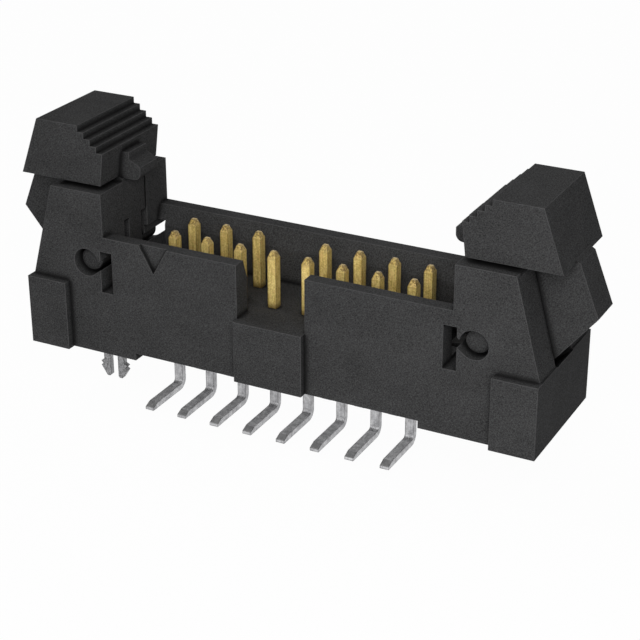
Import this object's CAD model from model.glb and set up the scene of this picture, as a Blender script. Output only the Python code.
"""Finish, light and camera for the two row ejector latch header."""

import math

import bpy
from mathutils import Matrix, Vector


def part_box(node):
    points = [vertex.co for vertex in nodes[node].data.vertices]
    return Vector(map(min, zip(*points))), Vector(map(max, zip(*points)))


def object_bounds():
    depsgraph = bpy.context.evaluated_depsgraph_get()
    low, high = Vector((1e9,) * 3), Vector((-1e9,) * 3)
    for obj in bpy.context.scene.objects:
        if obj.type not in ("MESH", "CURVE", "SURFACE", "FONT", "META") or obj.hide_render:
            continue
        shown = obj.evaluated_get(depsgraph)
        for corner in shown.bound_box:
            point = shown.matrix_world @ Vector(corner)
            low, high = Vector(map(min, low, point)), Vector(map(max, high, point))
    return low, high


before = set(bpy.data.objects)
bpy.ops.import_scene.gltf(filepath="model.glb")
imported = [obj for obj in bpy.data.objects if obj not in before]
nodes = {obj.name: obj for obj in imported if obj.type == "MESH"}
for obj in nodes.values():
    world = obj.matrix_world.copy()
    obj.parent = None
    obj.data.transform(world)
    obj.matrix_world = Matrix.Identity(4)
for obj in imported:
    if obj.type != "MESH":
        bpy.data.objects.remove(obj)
cad_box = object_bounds()

MM = 0.001

# Camera: where it stood, its turn and its tilt down in degrees, its focal length in pixels,
# and the pixel of the square picture that its axis goes through
CAMERA_PLACE = (39.411 * MM, -73.932 * MM, 44.315 * MM)
CAMERA_TURN = 27.135
CAMERA_TILT = 25.017
PICTURE_SIDE = 640
FOCAL_PIXELS = 1743.9
AXIS_PIXEL = (325.66, 317.97)
SENSOR_WIDTH = 36

# Point that all the lamps are aimed at
LAMP_AIM = Vector((0, 0, 6 * MM))

# How far the floor lies below the lowest point, and half the length of its side
FLOOR_GAP = 0.02 * MM
FLOOR_REACH = 3

# How pale the floor is, and how much of it is seen as plain white, with a faint shadow left
FLOOR_TONE = 0.79
FLOOR_GLOW = 0.97

# How pale the plastic of the housing and of the latches is
HOUSING_TONE = 0.048
LATCH_TONE = 0.0455

# Where gold ends above the board, over what height it fades, and the length of a pin's tip
PLATING_EDGE = 3.9 * MM
PLATING_FADE = 0.3 * MM
TIP_LENGTH = 0.45 * MM

# Length of the slope at the end of each solder foot
FOOT_SLOPE = 0.44 * MM

# Size of the patterns: grain, clouds, melt lines and rub marks in the plastic, and drawing
# lines, rolling lines, specks, patches and the ragged edge of the gold in the plating
GRAIN = 0.065 * MM
CLOUD = 2.2 * MM
MELT_LINE = 1.5 * MM
RUB_MARK = 0.8 * MM
DRAWING_LINE = 0.07 * MM
ROLLING_LINE = 0.08 * MM
SPECK = 0.09 * MM
PATCH = 0.3 * MM
RAGGED_EDGE = 0.2 * MM

# How deep the relief of the plastic and of the plating is
GRAIN_DEPTH = 0.004 * MM
PLATING_DEPTH = 0.002 * MM

# Radius by which the edges of the mouldings, the pins and the board lock are broken
PLASTIC_EDGE = 0.07 * MM
PIN_EDGE = 0.1 * MM
SHEET_EDGE = 0.06 * MM

# How far a corner's shade reaches on the plastic and on the contacts
PLASTIC_CORNER = 0.45 * MM
CONTACT_CORNER = 0.5 * MM

# Gold flash: its streaks, its rosy patches, the dull tip and the dirt in its corners
DEEP_GOLD = (0.59, 0.41, 0.10, 1)
PALE_GOLD = (0.99, 0.79, 0.30, 1)
ROSY_GOLD = (0.80, 0.54, 0.20, 1)
DULL_GOLD = (0.16, 0.10, 0.02, 1)
GOLD_DIRT = (0.13, 0.08, 0.02, 1)

# Matte tin on the contacts: its mottle, the cut slope of a foot and the dirt in its corners
DARK_TIN = (0.33, 0.33, 0.34, 1)
PALE_TIN = (0.67, 0.67, 0.68, 1)
CUT_TIN = (0.12, 0.12, 0.12, 1)
TIN_DIRT = (0.08, 0.08, 0.08, 1)

# Matte tin on the board lock: its mottle and its punched edges
DARK_SHEET = (0.13, 0.13, 0.13, 1)
PALE_SHEET = (0.37, 0.37, 0.38, 1)
PUNCHED_EDGE = (0.05, 0.05, 0.05, 1)

# Turn of the grain, in radians, so that no flat face lies along it
ASKEW = (0.6, 0.5, 0.4)


class Value:
    """A value that changes over a surface. Its operators add Math nodes."""

    def __init__(self, finish, socket):
        self.finish = finish
        self.socket = socket

    def __add__(self, other):
        return self.finish.maths("ADD", self, other)

    def __sub__(self, other):
        return self.finish.maths("SUBTRACT", self, other)

    def __rsub__(self, other):
        return self.finish.maths("SUBTRACT", other, self)

    def __mul__(self, other):
        return self.finish.maths("MULTIPLY", self, other)

    def __truediv__(self, other):
        return self.finish.maths("DIVIDE", self, other)

    def __rtruediv__(self, other):
        return self.finish.maths("DIVIDE", other, self)

    def __abs__(self):
        return self.finish.maths("ABSOLUTE", self, 0)

    __radd__ = __add__
    __rmul__ = __mul__


class Finish:
    """The nodes of one material or of the world."""

    def __init__(self, tree):
        self.tree = tree
        tree.nodes.clear()

    def node(self, kind, settings=None, inputs=None):
        """A node of that type, with its settings made first and its sockets fed after."""
        made = self.tree.nodes.new("ShaderNode" + kind)
        for key, value in (settings or {}).items():
            setattr(made, key, value)
        for key, value in (inputs or {}).items():
            self.feed(made.inputs[key], value)
        return made

    def feed(self, socket, value):
        if isinstance(value, Value):
            value = value.socket
        if isinstance(value, bpy.types.NodeSocket):
            self.tree.links.new(value, socket)
        else:
            socket.default_value = value

    def value(self, socket):
        return Value(self, socket)

    def maths(self, operation, first, second, clamp=False):
        settings = {"operation": operation, "use_clamp": clamp}
        made = self.node("Math", settings, {0: first, 1: second})
        return self.value(made.outputs[0])

    def clamped(self, value):
        return self.maths("ADD", value, 0, clamp=True)

    def ramp(self, value, start, end):
        """0 where the value is below start, 1 where it is above end, and between them."""
        return self.clamped((value - start) / (end - start))

    def layered(self, *layers):
        """Patterns laid over one another round 0.5, each with its own strength."""
        total = 0.5
        for pattern, strength in layers:
            total = (pattern - 0.5) * strength + total
        return self.clamped(total)

    def split(self, vector):
        """The X, Y and Z of a vector."""
        parts = self.node("SeparateXYZ", {}, {0: vector}).outputs
        return self.value(parts["X"]), self.value(parts["Y"]), self.value(parts["Z"])

    def face_normal(self):
        """The way that the flat face under the shaded point looks."""
        return self.node("NewGeometry").outputs["True Normal"]

    def place(self):
        """Where the shaded point is on its own piece, in metres."""
        return self.node("TexCoord").outputs["Object"]

    def stretched(self, scale=(1, 1, 1), turn=(0, 0, 0)):
        """The place, scaled and then turned. A scale under 1 draws a pattern out."""
        inputs = {"Vector": self.place(), "Scale": scale, "Rotation": turn}
        return self.node("Mapping", {"vector_type": "POINT"}, inputs).outputs[0]

    def noise(self, size, detail=2, rough=0.5, vector=None):
        """Cloudy noise from 0 to 1, whose patches are about size metres across."""
        inputs = {
            "Vector": vector or self.stretched(turn=ASKEW),
            "Scale": 1 / size,
            "Detail": detail,
            "Roughness": rough,
        }
        return self.value(self.node("TexNoise", {}, inputs).outputs["Fac"])

    def blend(self, factor, first, second):
        """The first colour where the factor is 0 and the second where it is 1."""
        made = self.node("Mix", {"data_type": "RGBA"}, {"Factor": factor})
        self.feed(made.inputs[6], first)
        self.feed(made.inputs[7], second)
        return made.outputs[2]

    def rounded(self, radius):
        """The normal of a surface whose edges are broken by that radius."""
        return self.node("Bevel", {"samples": 6}, {"Radius": radius}).outputs[0]

    def edges(self, rounded):
        """1 on a broken edge and 0 on the faces beside it."""
        inputs = {0: rounded, 1: self.face_normal()}
        turned = self.node("VectorMath", {"operation": "DOT_PRODUCT"}, inputs)
        return 1 - self.ramp(self.value(turned.outputs["Value"]), 0.875, 1)

    def openness(self, reach):
        """1 on open faces, and less in corners and gaps narrower than that reach."""
        made = self.node("AmbientOcclusion", {"samples": 8}, {"Distance": reach})
        return self.value(made.outputs["AO"])

    def bump(self, height, depth, rounded):
        """That normal, disturbed by a height from 0 to 1 over the depth in metres."""
        inputs = {"Height": height, "Distance": depth, "Normal": rounded}
        return self.node("Bump", {}, inputs).outputs[0]

    def surface(self, inputs):
        shader = self.node("BsdfPrincipled", {}, inputs)
        self.node("OutputMaterial", {}, {"Surface": shader.outputs[0]})


def new_finish(name):
    material = bpy.data.materials.new(name)
    material.use_nodes = True
    return material, Finish(material.node_tree)


def grey(level):
    return (level, level, level * 1.01, 1)


def moulded_plastic(name, level):
    """Charcoal glass filled plastic from a spark eroded mould: a fine even grain, with
    faint clouds where the melt flowed, darker in the corners and rubbed at the edges."""
    material, finish = new_finish(name)
    grain = finish.noise(GRAIN, detail=1, rough=0.9)
    clouds = finish.noise(CLOUD)
    melt = finish.noise(MELT_LINE, detail=3, vector=finish.stretched((0.35, 1, 1)))
    tone = finish.layered((grain, 2.3), (clouds, 0.4), (melt, 0.3))
    even = finish.blend(tone, grey(level * 0.5), grey(level * 1.5))
    rounded = finish.rounded(PLASTIC_EDGE)
    rubbed = finish.edges(rounded) * (finish.noise(RUB_MARK, detail=3) + 0.4)
    worn = finish.blend(finish.clamped(rubbed), even, grey(level * 2.1))
    open_face = finish.ramp(finish.openness(PLASTIC_CORNER), 0.54, 0.9)
    finish.surface({
        "Base Color": finish.blend(open_face, grey(level * 0.25), worn),
        "Roughness": 0.58 + (grain - 0.5) * 0.2 + (clouds - 0.5) * 0.12 - rubbed * 0.1,
        "Specular IOR Level": 0.002,
        "Normal": finish.bump(grain * 0.7 + clouds * 0.3, GRAIN_DEPTH, rounded),
    })
    return material


def gold_flash(finish, height, drawn, patches, specks):
    """Gold with streaks along the drawn wire, rosy patches and a dull blotched tip."""
    pin_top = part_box("contact_front_1")[1].z
    streaks = finish.layered((drawn, 2), (specks, 2.2))
    streaked = finish.blend(streaks, DEEP_GOLD, PALE_GOLD)
    rosy = finish.blend(finish.ramp(patches, 0.5, 0.83), streaked, ROSY_GOLD)
    tip = finish.ramp(height, pin_top - TIP_LENGTH, pin_top - TIP_LENGTH / 2)
    blotches = finish.ramp(specks, 0.42, 0.59) * 0.6 + 0.35
    return finish.blend(tip * blotches, rosy, DULL_GOLD)


def matte_tin(finish, outward, drawn, patches, specks):
    """Mottled tin, darker on the slope that was cut at the end of each foot."""
    foot_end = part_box("contact_back_1")[1].y
    mottle = finish.layered((patches, 2), (specks, 1.2), (drawn, 1))
    mottled = finish.blend(mottle, DARK_TIN, PALE_TIN)
    slope_start = foot_end - FOOT_SLOPE
    near_end = finish.ramp(abs(outward), slope_start, slope_start + FOOT_SLOPE / 10)
    upward = finish.split(finish.face_normal())[2]
    cut = near_end * finish.ramp(upward, 0.5, 0.75)
    return finish.blend(cut * 0.7, mottled, CUT_TIN)


def plated_contact():
    """Gold flash over the pin, matte tin over the tail. The two meet inside the floor."""
    material, finish = new_finish("plated_contact")
    outward, height = finish.split(finish.place())[1:]
    drawn = finish.noise(DRAWING_LINE, vector=finish.stretched((1, 1, 0.08)))
    patches = finish.noise(PATCH, detail=3)
    specks = finish.noise(SPECK)
    ragged = (finish.noise(RAGGED_EDGE) - 0.5) * PLATING_FADE
    gold = finish.ramp(height + ragged, PLATING_EDGE, PLATING_EDGE + PLATING_FADE)
    tin_colour = matte_tin(finish, outward, drawn, patches, specks)
    gold_colour = gold_flash(finish, height, drawn, patches, specks)
    clean = finish.blend(gold, tin_colour, gold_colour)
    rounded = finish.rounded(PIN_EDGE)
    crevice = 1 - finish.ramp(finish.openness(CONTACT_CORNER), 0.6, 0.9)
    soiled = finish.edges(rounded) * (gold * 0.3 + 0.5) + crevice * 0.9
    dirt = finish.blend(gold, TIN_DIRT, GOLD_DIRT)
    finish.surface({
        "Base Color": finish.blend(finish.clamped(soiled), clean, dirt),
        "Metallic": 0.65 - gold * 0.3,
        "Roughness": 0.46 + (specks - 0.5) * 0.2,
        "Normal": finish.bump(drawn * gold + specks * (1 - gold), PLATING_DEPTH, rounded),
    })
    return material


def tinned_sheet():
    """Matte tin over the punched board lock, with the grain of the rolled strip."""
    material, finish = new_finish("tinned_sheet")
    rolled = finish.noise(ROLLING_LINE, detail=3, vector=finish.stretched((1, 1, 0.3)))
    specks = finish.noise(SPECK)
    mottle = finish.layered((rolled, 1.5), (specks, 2.5))
    clean = finish.blend(mottle, DARK_SHEET, PALE_SHEET)
    rounded = finish.rounded(SHEET_EDGE)
    finish.surface({
        "Base Color": finish.blend(finish.edges(rounded) * 0.9, clean, PUNCHED_EDGE),
        "Metallic": 0.9,
        "Roughness": 0.46 + (specks - 0.5) * 0.2,
        "Normal": finish.bump(rolled, PLATING_DEPTH, rounded),
    })
    return material


def dress(piece, material):
    piece.data.materials.clear()
    piece.data.materials.append(material)


def finish_pieces():
    latch_plastic = moulded_plastic("latch_plastic", LATCH_TONE)
    contact = plated_contact()
    for name, piece in nodes.items():
        if name.startswith("contact"):
            dress(piece, contact)
        elif name.startswith("latch"):
            dress(piece, latch_plastic)
    dress(nodes["housing"], moulded_plastic("housing_plastic", HOUSING_TONE))
    dress(nodes["board_lock"], tinned_sheet())


def seen_directly(finish):
    """1 for rays from the camera and for what shows in metal or through glass."""
    path = finish.node("LightPath").outputs
    direct = finish.maths("MAXIMUM", path["Is Camera Ray"], path["Is Glossy Ray"])
    return finish.maths("MAXIMUM", direct, path["Is Transmission Ray"])


def light_world(ambient):
    world = bpy.data.worlds.new("studio")
    bpy.context.scene.world = world
    world.use_nodes = True
    finish = Finish(world.node_tree)
    backdrop = seen_directly(finish)
    strength = backdrop + (1 - backdrop) * ambient
    made = finish.node("Background", {}, {"Color": (1, 1, 1, 1), "Strength": strength})
    finish.node("OutputWorld", {}, {"Surface": made.outputs[0]})


def lay_floor(height):
    """A white sheet that keeps a faint shadow of the header."""
    mesh = bpy.data.meshes.new("floor")
    signs = ((-1, -1), (1, -1), (1, 1), (-1, 1))
    corners = [(x * FLOOR_REACH, y * FLOOR_REACH, height) for x, y in signs]
    mesh.from_pydata(corners, [], [(0, 1, 2, 3)])
    floor = bpy.data.objects.new("floor", mesh)
    bpy.context.scene.collection.objects.link(floor)
    material, finish = new_finish("white_sheet")
    matte = finish.node("BsdfDiffuse", {}, {"Color": grey(FLOOR_TONE)})
    glow = finish.node("Emission", {}, {"Color": (1, 1, 1, 1), "Strength": 1})
    shown = seen_directly(finish) * FLOOR_GLOW
    mix = finish.node("MixShader", {}, {0: shown, 1: matte.outputs[0], 2: glow.outputs[0]})
    finish.node("OutputMaterial", {}, {"Surface": mix.outputs[0]})
    mesh.materials.append(material)


def hang_softbox(name, turn, height, power, distance=0.2, size=0.12):
    """A square lamp aimed at the header. The turn is 0 in front and 90 on the right."""
    lamp = bpy.data.lights.new(name, "AREA")
    lamp.shape = "SQUARE"
    lamp.size = size
    lamp.energy = power
    box = bpy.data.objects.new(name, lamp)
    bpy.context.scene.collection.objects.link(box)
    turn, height = math.radians(turn), math.radians(height)
    flat = distance * math.cos(height)
    arm = Vector((flat * math.sin(turn), -flat * math.cos(turn), distance * math.sin(height)))
    box.location = LAMP_AIM + arm
    box.rotation_euler = (-arm).to_track_quat("-Z", "Y").to_euler()
    box.visible_camera = False


def set_camera():
    camera = bpy.data.cameras.new("camera")
    camera.sensor_width = SENSOR_WIDTH
    camera.lens = SENSOR_WIDTH * FOCAL_PIXELS / PICTURE_SIDE
    camera.shift_x = 0.5 - AXIS_PIXEL[0] / PICTURE_SIDE
    camera.shift_y = AXIS_PIXEL[1] / PICTURE_SIDE - 0.5
    camera.clip_start = MM
    camera.clip_end = 10
    stand = bpy.data.objects.new("camera", camera)
    bpy.context.scene.collection.objects.link(stand)
    stand.location = CAMERA_PLACE
    stand.rotation_euler = (math.radians(90 - CAMERA_TILT), 0, math.radians(CAMERA_TURN))
    bpy.context.scene.camera = stand


set_camera()
finish_pieces()
light_world(ambient=0.2)
lay_floor(cad_box[0].z - FLOOR_GAP)
hang_softbox("near_box", turn=30, height=30, power=0.036, distance=0.08, size=0.05)
hang_softbox("front_box", turn=0, height=30, power=0.076)
hang_softbox("left_box", turn=-90, height=40, power=0.12)
hang_softbox("back_box", turn=180, height=4, power=0.16)
bpy.context.scene.view_settings.view_transform = "Standard"
